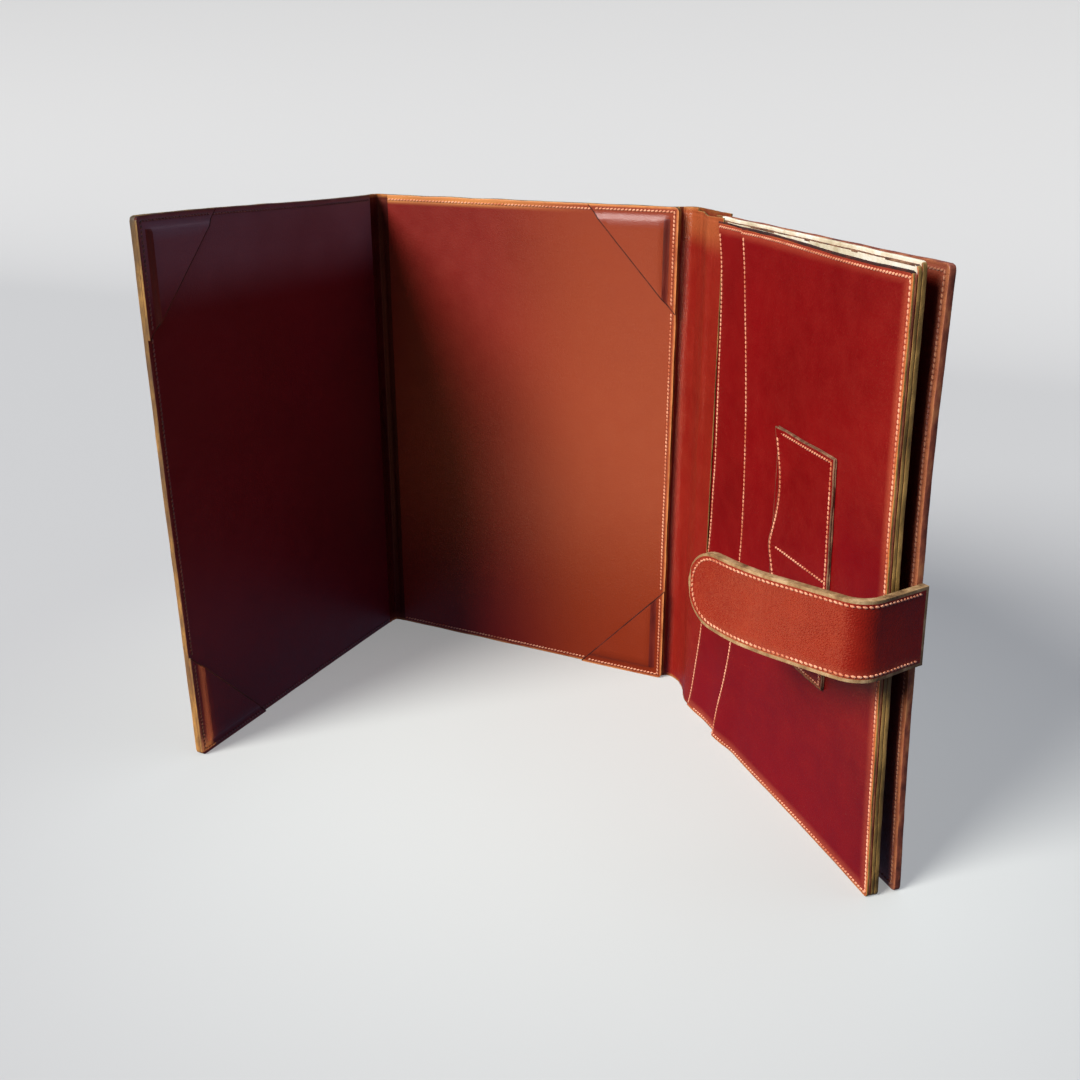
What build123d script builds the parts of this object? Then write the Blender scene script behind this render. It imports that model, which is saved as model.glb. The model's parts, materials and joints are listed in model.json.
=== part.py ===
from build123d import *
import os
from math import cos, radians, sin

# Leather portfolio case: a writing folio of four stiff leaves, standing open like a screen.
# Millimetres, +Z up. The front cover lies along +X, the flap swings off its -X edge, and the
# soft spine, the pocket leaf and the back cover follow its +X edge. All hinge lines are upright.
# Everything is drawn about the flap's fold line, then moved so that the origin is the
# bottom centre of the whole case.

# Driving dimensions: overall
leaf_height = 330.0           # covers and flap, top edge to bottom edge
pocket_leaf_height = 327.0    # the inner leaf is trimmed a little shorter than the covers
cover_width = 226.0           # fold line to the cover's spine edge
flap_width = 226.0            # fold line to the flap's free edge
spine_width = 38.0            # between the two hinge lines of the spine
back_width = 230.0            # hinge line to the fore edge, pocket leaf and back cover

# Driving dimensions: leather and board
outer_ply = 1.2               # glazed outer leather
board_ply = 1.4               # stiffener board in the covers and the flap
lining_ply = 1.0              # glazed lining leather
backing_ply = 1.4             # back of the pocket leaf
core_board = 2.0              # stiffener board in the pocket leaf
facing_ply = 1.2              # front of the pocket leaf, under the pockets
pocket_ply = 0.95             # leather of the large and the card pockets
board_inset = 4.0             # the boards stop this far inside the leather's edge
corner_round = 3.0            # radius of the leaves' outer corners
thread = 0.8                  # width of a sewn seam
thread_height = 0.3           # how far a seam stands off the leather
seam_inset = 4.5              # from a leaf's edge to its seam
fit_gap = 0.3                 # between pieces that move past each other

# Driving dimensions: corner pockets that hold a blotter or a writing pad
corner_width = 64.0
corner_height = 68.0
corner_rim = 5.5              # flat sewn rim
corner_leather = 1.6
corner_rise = 1.6             # how far the moulded face stands above the rim

# Driving dimensions: creases
fold_half = 5.0               # from the fold line to either leaf's edge
spine_crease = 3.5            # from a spine hinge line to the front cover's edge
spine_margin = 3.0            # from a spine hinge line to the spine's plies
spine_bulge = 4.0             # how far the spine bows outwards
back_margin = 3.0             # from the rear hinge line to the pocket leaf and the back cover

# Driving dimensions: pockets on the pocket leaf
deep_mouth = 26.0             # mouth of the deeper pocket, from the rear hinge line
short_mouth = 70.0            # mouth of the shorter pocket, from the same line
mouth_curl = 20.0             # both mouths curve back this far at the bottom edge
mouth_seam_inset = 2.2
card_width = 66.0
card_height = 130.0
card_fore_margin = 52.0       # from the card pocket to the leaf's fore edge
card_bottom = 97.0
card_split = 62.0             # height of the seam that divides it, above its bottom
card_seam_inset = 5.5

# Driving dimensions: strap
strap_width = 42.0
strap_bottom = 136.5
strap_ply = 2.0
strap_drop = 42.7             # from the back cover's mid thickness to its bend
strap_overhang = 9.6          # how far its bend leans past the fore edge
strap_run = 62.0              # from its bend to the bow of its tongue
strap_end = 45.0              # from the bow to the tip
strap_bend = 14.0             # radius of the bend, at mid thickness
strap_bow = 100.0             # radius of the bow
strap_way = 209.1             # where the run heads, from the back cover's own heading
strap_turn = 15.8             # how much the bow turns it towards the pocket leaf
strap_seam_inset = 3.2
anchor_length = 22.0          # tab of the strap that is sewn inside the back cover

# Rest pose, degrees
flap_rest = 89.0              # between the flap and the front cover
front_rest = 40.0             # turn from the front cover to the spine
pocket_rest = 6.5             # turn from the spine to the pocket leaf
back_rest = 2.5               # the back cover stands this much away from the pocket leaf

# Worked out from the above
leaf_thickness = lining_ply + board_ply + outer_ply
corner_thickness = corner_leather + corner_rise
fold_gap = corner_thickness + fit_gap / 2
soft_thickness = lining_ply + outer_ply
pocket_leaf_thickness = backing_ply + core_board + facing_ply + 2 * pocket_ply


def polar(distance, heading):
    return Vector(distance * cos(radians(heading)), distance * sin(radians(heading)))


def at(point, heading):
    return Location((point.X, point.Y, 0), (0, 0, heading))


# Hinge lines. In each leaf's own frame x runs away from its hinge, y is thickness and z is up.
fold_point = Vector(0, 0)
front_point = Vector(cover_width + spine_crease, fold_gap + leaf_thickness - soft_thickness / 2)
spine_heading = -front_rest
rear_point = front_point + polar(spine_width, spine_heading)
pocket_heading = spine_heading - pocket_rest
back_heading = pocket_heading + back_rest
back_axis = fit_gap + thread_height + leaf_thickness - outer_ply / 2
back_point = rear_point + polar(back_axis, pocket_heading + 90)
strap_point = back_point + polar(back_width + fit_gap + strap_ply, back_heading)

flap_place = at(fold_point, -flap_rest)
front_place = at(fold_point, 0)
spine_place = at(front_point, spine_heading)
pocket_place = at(rear_point, pocket_heading)
back_place = at(back_point, back_heading)
strap_place = at(strap_point, back_heading)


# Shapes, all drawn in a leaf's own frame ----------------------------------------------------

def sheet(along, depth, height, rounded=0):
    """A flat sheet, with the two corners at its far end rounded."""
    size = [span[1] - span[0] for span in (along, depth, height)]
    flat = Pos(along[0], depth[0], height[0]) * Box(*size, align=(Align.MIN,) * 3)
    if rounded:
        flat = fillet(flat.edges().filter_by(Axis.Y).sort_by(Axis.X)[-2:], rounded)
    return flat


def stand(face, depth):
    """A face drawn in x and z, made as thick as depth says."""
    return extrude(Pos(0, depth[0], 0) * Rot(90, 0, 0) * face, depth[1] - depth[0], dir=(0, 1, 0))


def ribbon(line, width, height):
    """A ply that follows a line drawn in plan, standing between two heights."""
    return Pos(0, 0, height[0]) * extrude(trace(line, width), height[1] - height[0])


def bar(start, end):
    """A straight seam between two points, drawn in x and z, square to the axes."""
    size = [max(abs(b - a), thread) for a, b in zip(start, end)]
    return Pos((start[0] + end[0]) / 2, (start[1] + end[1]) / 2) * Rectangle(*size)


def seams(faces, depth):
    """Sewn seams, each a narrow face drawn in x and z, as one group."""
    runs = [stand(face, depth) for face in faces]
    return Compound(children=[solid for run in runs for solid in run.solids()])


def frame_seam(start, fore, low, high):
    """Three bars that run out along the top, down the fore edge and back along the bottom."""
    half = thread / 2
    return [bar((start, low), (fore + half, low)), bar((start, high), (fore + half, high)),
            bar((fore, low + thread), (fore, high - thread))]


def leaf_plies(side, start, end, inner, name):
    """The lining, board and outer leather of a stiff leaf. Its lining starts inner away from
    the leaf's x axis, on the side that side says, and the outer leather is furthest away."""
    depths = [inner, inner + lining_ply, inner + lining_ply + board_ply, inner + leaf_thickness]
    plies = {}
    for index, ply in enumerate(("lining", "board", "outer_leather")):
        depth = sorted((side * depths[index], side * depths[index + 1]))
        if ply == "board":
            plies[f"{name}_{ply}"] = sheet((start, end - board_inset), depth,
                                           (board_inset, leaf_height - board_inset))
        else:
            plies[f"{name}_{ply}"] = sheet((start, end), depth, (0, leaf_height), corner_round)
    return plies


def corner_pocket(end, face, side, top):
    """A triangular moulded pocket: a flat sewn rim, and a raised face open along its diagonal.
    face is the y of the lining it is sewn to, and side points away from that lining."""
    edge = leaf_height if top else 0
    turn = -1 if top else 1

    def triangle(inset):
        corner = (end - inset, edge + turn * inset)
        along = (end - corner_width * (1 - inset / corner_height), edge + turn * inset)
        beside = (end - inset, edge + turn * corner_height * (1 - inset / corner_width))
        return make_face(Polyline(corner, along, beside, close=True))

    def layer(inset, near, far):
        return stand(triangle(inset), sorted((face + side * near, face + side * far)))

    pocket = layer(0, 0, corner_leather) + layer(corner_rim, 0, corner_thickness)
    pocket -= layer(corner_rim + corner_leather, 0, corner_rise)
    upright = pocket.edges().filter_by(Axis.Y)
    tip = upright.sort_by_distance((end, face, edge))[0]
    return fillet(tip, corner_round)


def corner_pockets(end, face, side, name):
    return {f"{name}_corner_upper": corner_pocket(end, face, side, True),
            f"{name}_corner_lower": corner_pocket(end, face, side, False)}


def cover_seams(start, end, face, side):
    """Seams along the top and bottom edges of a cover, between its crease and its corners."""
    fore = end - seam_inset
    runs = [bar((start, z), (end - corner_width, z)) for z in (seam_inset, leaf_height - seam_inset)]
    runs.append(bar((fore, corner_height), (fore, leaf_height - corner_height)))
    return seams(runs, sorted((face, face + side * thread_height)))


def corner_seams(end, face, side):
    """Seams on the rims of the two corner pockets."""
    runs = []
    inset = corner_rim / 2
    for edge, turn in ((0, 1), (leaf_height, -1)):
        x, z = end - inset, edge + turn * inset
        runs.append(bar((end - corner_width + corner_rim, z), (x + thread / 2, z)))
        runs.append(bar((x, z + turn * thread), (x, edge + turn * (corner_height - corner_rim))))
    near = face + side * corner_leather
    return seams(runs, sorted((near, near + side * thread_height)))


# The flap and the front cover ---------------------------------------------------------------

def flap():
    inner = fold_gap
    nodes = leaf_plies(-1, fold_half, flap_width, inner, "flap")
    nodes.update(corner_pockets(flap_width, -inner, 1, "flap"))
    nodes["flap_edge_seams"] = cover_seams(fold_half, flap_width, -inner, 1)
    nodes["flap_corner_seams"] = corner_seams(flap_width, -inner, 1)
    return nodes


def front_cover():
    inner = fold_gap
    nodes = leaf_plies(1, fold_half, cover_width, inner, "front")
    nodes.update(corner_pockets(cover_width, inner, -1, "front"))
    nodes["front_edge_seams"] = cover_seams(fold_half, cover_width, inner, -1)
    nodes["front_corner_seams"] = corner_seams(cover_width, inner, -1)
    return nodes


def fold_ply(radius, thickness):
    """A soft ply that rounds the fold line, from the front cover's edge to the flap's."""
    bend = CenterArc((0, 0), radius, 90, 180 - flap_rest)
    tail = fold_half - fit_gap
    runs = [Line((tail, radius), bend @ 0), bend, Line(bend @ 1, bend @ 1 + (bend % 1) * tail)]
    return ribbon(Wire(runs), thickness, (0, leaf_height))


def fold():
    return {"fold_lining": fold_ply(fold_gap + lining_ply / 2, lining_ply),
            "fold_outer_leather": fold_ply(fold_gap + leaf_thickness - outer_ply / 2, outer_ply)}


# The spine ------------------------------------------------------------------------------------

def spine_ply(offset, thickness):
    """One ply of the spine, bowed outwards between its two creases."""
    chord = spine_width - 2 * spine_margin
    radius = (chord ** 2 / 4 + spine_bulge ** 2) / (2 * spine_bulge)
    middle = (spine_width / 2, spine_bulge - radius)
    bow = ribbon(CenterArc(middle, radius + offset, 30, 120), thickness, (0, leaf_height))
    return bow & Box(chord, 4 * radius, 3 * leaf_height).moved(Location((spine_width / 2, 0, 0)))


def spine():
    return {"spine_lining": spine_ply(-outer_ply / 2, lining_ply),
            "spine_outer_leather": spine_ply(lining_ply / 2, outer_ply)}


def crease(points, thickness, height):
    """A soft strip across a hinge line, through points in plan."""
    return ribbon(Polyline(*[(point.X, point.Y) for point in points]), thickness, (0, height))


def local(place, x, y):
    """A point in a leaf's frame, given in plan."""
    return (place * Pos(x, y, 0)).position


def creases():
    soft = fit_gap / 2
    outer_y = lining_ply / 2
    front = [local(front_place, cover_width + fit_gap, front_point.Y + outer_y),
             front_point + Vector(0, outer_y),
             local(spine_place, spine_margin - fit_gap, outer_y + soft)]
    pocket_y = -(backing_ply + core_board + facing_ply / 2)
    pocket = [local(spine_place, spine_width - spine_margin + fit_gap, -outer_ply / 2),
              local(pocket_place, back_margin - fit_gap, pocket_y)]
    back = [local(spine_place, spine_width - spine_margin + fit_gap, outer_y),
            local(back_place, back_margin - fit_gap, 0)]
    return {"front_hinge_leather": crease(front, outer_ply - fit_gap, leaf_height),
            "pocket_hinge_leather": crease(pocket, lining_ply, pocket_leaf_height),
            "back_hinge_leather": crease(back, outer_ply, leaf_height)}


# The pocket leaf --------------------------------------------------------------------------------

def mouth(setback):
    """A pocket's mouth edge: nearly straight, slack in the middle, curling back at the bottom."""
    top, bottom = pocket_leaf_height, 0
    return Spline((setback - mouth_curl / 2, top), (setback, top * 0.72), (setback, top * 0.4),
                  (setback - mouth_curl * 0.35, top * 0.16), (setback - mouth_curl, bottom))


def pocket_sheet(setback, depth):
    """A large pocket: its other three edges are sewn to the leaf's."""
    edge = mouth(setback)
    outline = [edge, Line(edge @ 1, (back_width, 0)),
               Line((back_width, 0), (back_width, pocket_leaf_height)),
               Line((back_width, pocket_leaf_height), edge @ 0)]
    pocket = stand(make_face(Wire(outline)), depth)
    return fillet(pocket.edges().filter_by(Axis.Y).sort_by(Axis.X)[-2:], corner_round)


def mouth_seam(setback):
    """The seam just behind a mouth, stopping at the seams along the top and the bottom."""
    clear = seam_inset + thread
    outside = Pos(back_width / 2, pocket_leaf_height / 2) * (
        Rectangle(2 * back_width, 2 * pocket_leaf_height)
        - Rectangle(2 * back_width, pocket_leaf_height - 2 * clear))
    return Pos(mouth_seam_inset, 0) * trace(mouth(setback), thread) - outside


def pocket_leaf():
    face = -pocket_leaf_thickness
    short_back = face + pocket_ply
    deep_back = short_back + pocket_ply
    facing_back = deep_back + facing_ply
    full = (0, pocket_leaf_height)
    span = (back_margin, back_width)
    card = (back_width - card_fore_margin - card_width, back_width - card_fore_margin)
    card_z = (card_bottom, card_bottom + card_height)
    high, low = pocket_leaf_height - seam_inset, seam_inset
    fore = back_width - seam_inset
    left, right = card[0] + mouth_seam_inset, card[1] - card_seam_inset
    middle = card_bottom + card_split
    nodes = {
        "pocket_leaf_backing": sheet(span, (-backing_ply, 0), full, corner_round),
        "pocket_leaf_board": sheet((back_margin, back_width - board_inset), (facing_back, -backing_ply),
                                   (board_inset, pocket_leaf_height - board_inset)),
        "pocket_leaf_facing": sheet(span, (deep_back, facing_back), full, corner_round),
        "deep_pocket": pocket_sheet(deep_mouth, (short_back, deep_back)),
        "short_pocket": pocket_sheet(short_mouth, (face, short_back)),
        "card_pocket_back": sheet(card, (face - pocket_ply, face), card_z),
        "card_pocket_front": sheet(card, (face - 2 * pocket_ply, face - pocket_ply), card_z),
    }
    start = short_mouth + 2 * mouth_seam_inset
    nodes["pocket_leaf_seams"] = seams(frame_seam(start, fore, low, high), (face - thread_height, face))
    nodes["deep_pocket_seam"] = seams([mouth_seam(deep_mouth)], (short_back - thread_height, short_back))
    nodes["short_pocket_seam"] = seams([mouth_seam(short_mouth)], (face - thread_height, face))
    card_low, card_high = card_z[0] + card_seam_inset, card_z[1] - card_seam_inset
    card_face = face - 2 * pocket_ply
    nodes["card_pocket_seams"] = seams(
        frame_seam(left, right, card_low, card_high) + [bar((left, middle), (right - 2 * thread, middle))],
        (card_face - thread_height, card_face))
    return nodes


# The back cover and the strap -------------------------------------------------------------------

def strap_heights(inset=0):
    return (strap_bottom + inset, strap_bottom + strap_width - inset)


def back_cover():
    inner = -(leaf_thickness - outer_ply / 2)
    nodes = {
        "back_lining": sheet((back_margin, back_width), (inner, inner + lining_ply),
                             (0, leaf_height), corner_round),
        "back_outer_leather": sheet((back_margin, back_width), (-outer_ply / 2, outer_ply / 2),
                                    (0, leaf_height), corner_round),
    }
    board = sheet((back_margin, back_width - board_inset), (inner + lining_ply, -outer_ply / 2),
                  (board_inset, leaf_height - board_inset))
    tab = sheet((back_width - anchor_length, back_width), (inner + lining_ply, -outer_ply / 2),
                strap_heights())
    room = sheet((back_width - anchor_length - fit_gap, back_width), (inner, outer_ply),
                 strap_heights(-fit_gap))
    nodes["back_board"] = board - room
    nodes["strap_anchor"] = tab
    low, high = seam_inset, leaf_height - seam_inset
    fore = back_width - seam_inset
    nodes["back_edge_seams"] = seams(frame_seam(back_margin, fore, low, high),
                                     (inner - thread_height, inner))
    return nodes


def strap_route(offset):
    """The strap in plan, offset from its mid thickness towards the outside of its bend."""
    bend = Vector(strap_overhang, -strap_drop)
    bow = bend + polar(strap_run, strap_way)
    points = [Vector(0, outer_ply / 2), bend, bow, bow + polar(strap_end, strap_way - strap_turn)]
    moved = []
    for index, point in enumerate(points):
        before = (point - points[index - 1]).normalized() if index else None
        after = (points[index + 1] - point).normalized() if index < len(points) - 1 else None
        normals = [side.rotate(Axis.Z, 90) for side in (before, after) if side]
        total = sum(normals[1:], normals[0])
        moved.append(point + total * (offset / total.dot(normals[0])))
    return FilletPolyline(*moved, radius=[strap_bend + offset, strap_bow + offset])


def strap():
    """Two plies sewn together, springing round the fore edge, with a round tip."""
    mid = strap_route(0)
    tip, end_way = mid @ 1, mid % 1
    radius = strap_width / 2
    centre = Vector(tip.X, tip.Y, strap_bottom + radius) - end_way * radius
    facing = Plane(centre, x_dir=end_way, z_dir=end_way.rotate(Axis.Z, 90))
    deep = 10 * strap_ply
    outside = extrude(facing * (Pos(radius, 0) * Rectangle(2 * radius, 4 * radius)
                                - Circle(radius)), deep, both=True)
    plies = {"strap_outer_ply": strap_route(strap_ply / 2),
             "strap_inner_ply": strap_route(-strap_ply / 2)}
    nodes = {name: ribbon(line, strap_ply, strap_heights()) - outside
             for name, line in plies.items()}
    line = strap_route(strap_ply + thread_height / 2)
    low, high = strap_heights(strap_seam_inset)
    runs = ribbon(line, thread_height, (low, low + thread)) + ribbon(line, thread_height,
                                                                     (high - thread, high))
    trimmed = runs - extrude(facing * Rectangle(2 * radius, 4 * radius, align=(Align.MIN, Align.CENTER)),
                             deep, both=True)
    nodes["strap_seams"] = Compound(children=list(trimmed.solids()))
    return nodes


# Assembly -----------------------------------------------------------------------------------------

groups = [(flap_place, flap()), (front_place, front_cover()), (at(fold_point, 0), fold()),
          (spine_place, spine()), (at(fold_point, 0), creases()), (pocket_place, pocket_leaf()),
          (back_place, back_cover()), (strap_place, strap())]
nodes = {name: place * shape for place, group in groups for name, shape in group.items()}

box = Compound(children=[shape.moved(Location((0, 0, 0))) for shape in nodes.values()]).bounding_box()
centre = Vector((box.min.X + box.max.X) / 2, (box.min.Y + box.max.Y) / 2, box.min.Z)

os.makedirs("parts", exist_ok=True)
for name, shape in nodes.items():
    export_step(shape.moved(Location(-centre)), f"parts/{name}.step")

hinges = {"flap_fold": fold_point, "front_hinge": front_point, "pocket_hinge": rear_point,
          "back_hinge": back_point, "strap_swing": strap_point}
for name, point in hinges.items():
    print(f"{name}: {point.X - centre.X:.3f}, {point.Y - centre.Y:.3f}")
print(f"size: {box.size.X:.2f} x {box.size.Y:.2f} x {box.size.Z:.2f}, {len(nodes)} nodes")
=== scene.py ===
import json
import random
from functools import partial
from math import atan2, ceil, cos, hypot, pi, radians, sin, sqrt

import bmesh
import bpy
from mathutils import Matrix, Vector, noise


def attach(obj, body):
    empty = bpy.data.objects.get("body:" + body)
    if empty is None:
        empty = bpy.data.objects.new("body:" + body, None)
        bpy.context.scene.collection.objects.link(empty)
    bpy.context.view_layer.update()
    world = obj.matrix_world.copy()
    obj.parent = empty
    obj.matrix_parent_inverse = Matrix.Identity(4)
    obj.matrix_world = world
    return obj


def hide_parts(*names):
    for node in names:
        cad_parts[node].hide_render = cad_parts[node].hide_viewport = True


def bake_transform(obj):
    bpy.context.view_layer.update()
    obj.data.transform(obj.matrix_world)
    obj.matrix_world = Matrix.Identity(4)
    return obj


# A leather portfolio case that stands open like a screen: flap, front cover, soft spine,
# pocket leaf, back cover and closing strap.
# Pieces are drawn in millimetres in their leaf's own frame: x runs away from the hinge,
# y is thickness and z is up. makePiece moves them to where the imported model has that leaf.

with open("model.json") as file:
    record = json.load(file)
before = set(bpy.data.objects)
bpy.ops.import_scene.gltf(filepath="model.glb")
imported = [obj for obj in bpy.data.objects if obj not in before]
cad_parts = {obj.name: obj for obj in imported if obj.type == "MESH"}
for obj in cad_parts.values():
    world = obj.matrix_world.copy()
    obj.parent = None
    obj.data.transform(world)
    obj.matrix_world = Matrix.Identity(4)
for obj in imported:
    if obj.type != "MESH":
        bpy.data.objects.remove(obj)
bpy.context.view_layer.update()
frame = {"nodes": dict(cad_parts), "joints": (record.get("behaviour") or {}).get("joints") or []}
print("frame loaded:", len(frame["nodes"]), "nodes")

hinges = {joint["name"]: joint["pos_m"] for joint in frame["joints"]}
leaves = {  # the hinge each leaf hangs on, and its heading at rest
    "flap": ("flap_fold", -89.0),
    "front": ("flap_fold", 0.0),
    "pocket": ("pocket_hinge", -46.5),
    "back": ("back_hinge", -44.0),
    "strap": ("strap_swing", -44.0),
}


def leafMatrix(leaf):
    hinge, heading = leaves[leaf]
    x, y, z = hinges[hinge]
    turn = Matrix.Rotation(radians(heading), 4, "Z")
    return Matrix.Translation((x, y, 0)) @ turn @ Matrix.Scale(0.001, 4)


def ease(t):
    t = min(1.0, max(0.0, t))
    return t * t * (3 - 2 * t)


def toLinear(code):
    channels = [int(code[i:i + 2], 16) / 255 for i in (1, 3, 5)]
    return [c / 12.92 if c <= 0.04045 else ((c + 0.055) / 1.055) ** 2.4
            for c in channels] + [1.0]


def addNode(tree, kind, settings=None, links=None):
    node = tree.nodes.new("ShaderNode" + kind)
    for key, value in (settings or {}).items():
        if isinstance(key, int) or key in node.inputs:
            node.inputs[key].default_value = value
        else:
            setattr(node, key, value)
    for key, source in (links or {}).items():  # a node stands for its first output
        socket = source.outputs[0] if isinstance(source, bpy.types.Node) else source
        tree.links.new(socket, node.inputs[key])
    return node


def newMaterial(name, surface):
    material = bpy.data.materials.new(name)
    material.use_nodes = True
    tree = material.node_tree
    shader = tree.nodes["Principled BSDF"]
    for key, value in surface.items():
        shader.inputs[key].default_value = value
    return material, tree, shader, partial(addNode, tree)


# leather patterns: dye clouds about 90 mm across, mottling about 14 mm across and grain cells
# 1.4 mm across, which is a little coarser than calf so that they show
scales = {"cloud": 11, "mottle": 70, "grain": 720}


def glazedLeather(name, look):
    # Vegetable-tanned calf, dyed oxblood and glazed: deep clear colour that goes darker in
    # the hollows, a soft sheen, a fine grain and hair-thin creases.
    surface = {"IOR": 1.5, "Specular IOR Level": look["specular"], "Coat Weight": look["coat"],
               "Coat Roughness": look["coatRough"], "Coat IOR": 1.5}
    material, tree, shader, add = newMaterial(name, surface)
    uv = add("TexCoord").outputs["UV"]
    place = add("Mapping", {"Location": (look["seed"], look["seed"] * 0.37, 0)}, {"Vector": uv})
    cloud = add("TexNoise", {"Scale": scales["cloud"], "Detail": 3, "Roughness": 0.55},
                {"Vector": place})
    mottle = add("TexNoise", {"Scale": scales["mottle"], "Detail": 5, "Roughness": 0.6},
                 {"Vector": place})
    dyed = add("MapRange", {"From Min": 0.2, "From Max": 0.7}, {"Value": cloud})
    tone = add("Mix",
               {"data_type": "RGBA", 6: toLinear(look["deep"]), 7: toLinear(look["clear"])},
               {0: dyed}).outputs[2]
    patch = add("MapRange", {"From Min": 0.35, "From Max": 0.8, "To Max": 0.4}, {"Value": mottle})
    tone = add("Mix", {"data_type": "RGBA", 7: toLinear(look["warm"])},
               {0: patch, 6: tone}).outputs[2]
    # how far a point is from the leaf's open edges, for wear and for the pressed seam line
    sides = add("SeparateXYZ", {}, {0: uv})
    width, height = look["size"][0] / 1000, look["size"][1] / 1000
    fore = add("Math", {"operation": "SUBTRACT", 0: width}, {1: sides})
    top = add("Math", {"operation": "SUBTRACT", 0: height}, {1: sides.outputs[1]})
    least = add("Math", {"operation": "MINIMUM"}, {0: fore, 1: top})
    inset = add("Math", {"operation": "MINIMUM"}, {0: least, 1: sides.outputs[1]})
    rubbed = add("MapRange", {"From Min": look["worn"] / 1000, "From Max": 0.0004},
                 {"Value": inset})
    scuffs = add("MapRange", {"From Min": 0.35, "From Max": 0.55, "To Min": 0.35},
                 {"Value": mottle})
    rubbed = add("Math", {"operation": "MULTIPLY"}, {0: rubbed, 1: scuffs})
    # a lighter band along the top edge, or along every edge: along the top of the flap, front
    # cover and spine it is painted sheen and highlight; along every edge it is partly wear,
    # partly painted light
    sheenColour, sheenReach, sheenMost, wholeRim = look["bleach"]
    away = inset if wholeRim else top.outputs[0]
    sheenShare = add("MapRange",
                   {"From Min": sheenReach / 1000, "From Max": sheenReach / 2500,
                    "To Max": sheenMost, "interpolation_type": "SMOOTHSTEP"}, {"Value": away})
    patchy = add("MapRange", {"From Min": 0.3, "From Max": 0.6, "To Min": 0.6}, {"Value": cloud})
    sheenShare = add("Math", {"operation": "MULTIPLY"}, {0: sheenShare, 1: patchy})
    tone = add("Mix", {"data_type": "RGBA", 7: toLinear(sheenColour)},
               {0: sheenShare, 6: tone}).outputs[2]
    if "tan" in look:  # painted light: the leaf turns lighter and more orange away from its hinge, for the flap's shade near the hinge and the light beyond
        litAwayColour, litAwayFrom, litAwayTo = look["tan"]
        litAwayShare = add("MapRange",
                     {"From Min": litAwayFrom / 1000, "From Max": litAwayTo / 1000,
                      "interpolation_type": "SMOOTHSTEP"}, {"Value": sides})
        tone = add("Mix", {"data_type": "RGBA", 7: toLinear(litAwayColour)},
                   {0: litAwayShare, 6: tone}).outputs[2]
    tone = add("Mix", {"data_type": "RGBA", 7: toLinear(look["rub"])},
               {0: rubbed, 6: tone}).outputs[2]
    # hair-thin creases, drawn 1 mm wide so that they show, running across the leaf
    stretched = add("Mapping",
                    {"Scale": look["creaseWay"], "Rotation": (0, 0, look["creaseTurn"])},
                    {"Vector": place})
    hairs = add("TexNoise", {"Scale": 1, "Detail": 4, "Roughness": 0.7, "Distortion": 0.6},
                {"Vector": stretched})
    hairline = add("MapRange", {"From Min": 0.47, "From Max": 0.5}, {"Value": hairs})
    hairEnd = add("MapRange", {"From Min": 0.53, "From Max": 0.5}, {"Value": hairs})
    crease = add("Math", {"operation": "MULTIPLY"}, {0: hairline, 1: hairEnd})
    darker = add("Math", {"operation": "MULTIPLY", 1: look["crease"]}, {0: crease})
    tone = add("Mix", {"data_type": "RGBA", 7: toLinear(look["deep"])},
               {0: darker, 6: tone}).outputs[2]
    tree.links.new(tone, shader.inputs["Base Color"])
    smooth, dull = look["gloss"]
    gloss = add("MapRange", {"From Min": 0.3, "From Max": 0.7, "To Min": smooth, "To Max": dull},
                {"Value": mottle}).outputs[0]
    tree.links.new(gloss, shader.inputs["Roughness"])
    # the grain, the creases and the pressed seam line stand in relief
    grain = add("TexVoronoi", {"feature": "DISTANCE_TO_EDGE", "Scale": scales["grain"]},
                {"Vector": place})
    pebble = add("MapRange", {"From Max": 0.28, "To Max": look["grain"]}, {"Value": grain})
    pebble = add("Math", {"operation": "MULTIPLY_ADD", 1: 0.9}, {0: mottle, 2: pebble})
    worked = add("Math", {"operation": "MULTIPLY_ADD", 1: -look["crease"]},
                 {0: crease, 2: pebble})
    seam = add("Math", {"operation": "SUBTRACT", 1: look["seam"] / 1000}, {0: inset})
    seam = add("Math", {"operation": "ABSOLUTE"}, {0: seam})
    pressed = add("MapRange",
                  {"From Min": 0.0002, "From Max": 0.0015, "To Min": -1.2, "To Max": 0},
                  {"Value": seam})
    raised = add("Math", {"operation": "ADD"}, {0: worked, 1: pressed})
    bump = add("Bump", {"Strength": look["bump"], "Distance": 0.0004}, {"Height": raised})
    tree.links.new(bump.outputs[0], shader.inputs["Normal"])
    tree.links.new(bump.outputs[0], shader.inputs["Coat Normal"])
    return material


def rawEdge(name, dark, middle, pale, rough, scale, run):
    # The cut edge of the leather, once stained and polished and now rubbed: fibres in
    # mottled bands, matt, paler where the stain has gone.
    material, tree, shader, add = newMaterial(name, {"IOR": 1.45, "Roughness": rough})
    place = add("TexCoord").outputs["Object"]
    band = add("Mapping", {"Scale": (1, 1, run)}, {"Vector": place})
    rub = add("TexNoise", {"Scale": scale, "Detail": 6, "Roughness": 0.65}, {"Vector": band})
    fibre = add("TexNoise", {"Scale": 1400, "Detail": 2}, {"Vector": place})
    ramp = add("ValToRGB", {}, {0: rub})
    stops = ramp.color_ramp.elements
    stops[0].position, stops[1].position = 0.34, 0.66
    stops[0].color, stops[1].color = toLinear(dark), toLinear(pale)
    stops.new(0.5).color = toLinear(middle)
    tree.links.new(ramp.outputs[0], shader.inputs["Base Color"])
    height = add("Math", {"operation": "ADD"}, {0: fibre, 1: rub})
    bump = add("Bump", {"Strength": 0.6, "Distance": 0.0003}, {"Height": height})
    tree.links.new(bump.outputs[0], shader.inputs["Normal"])
    return material


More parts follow.
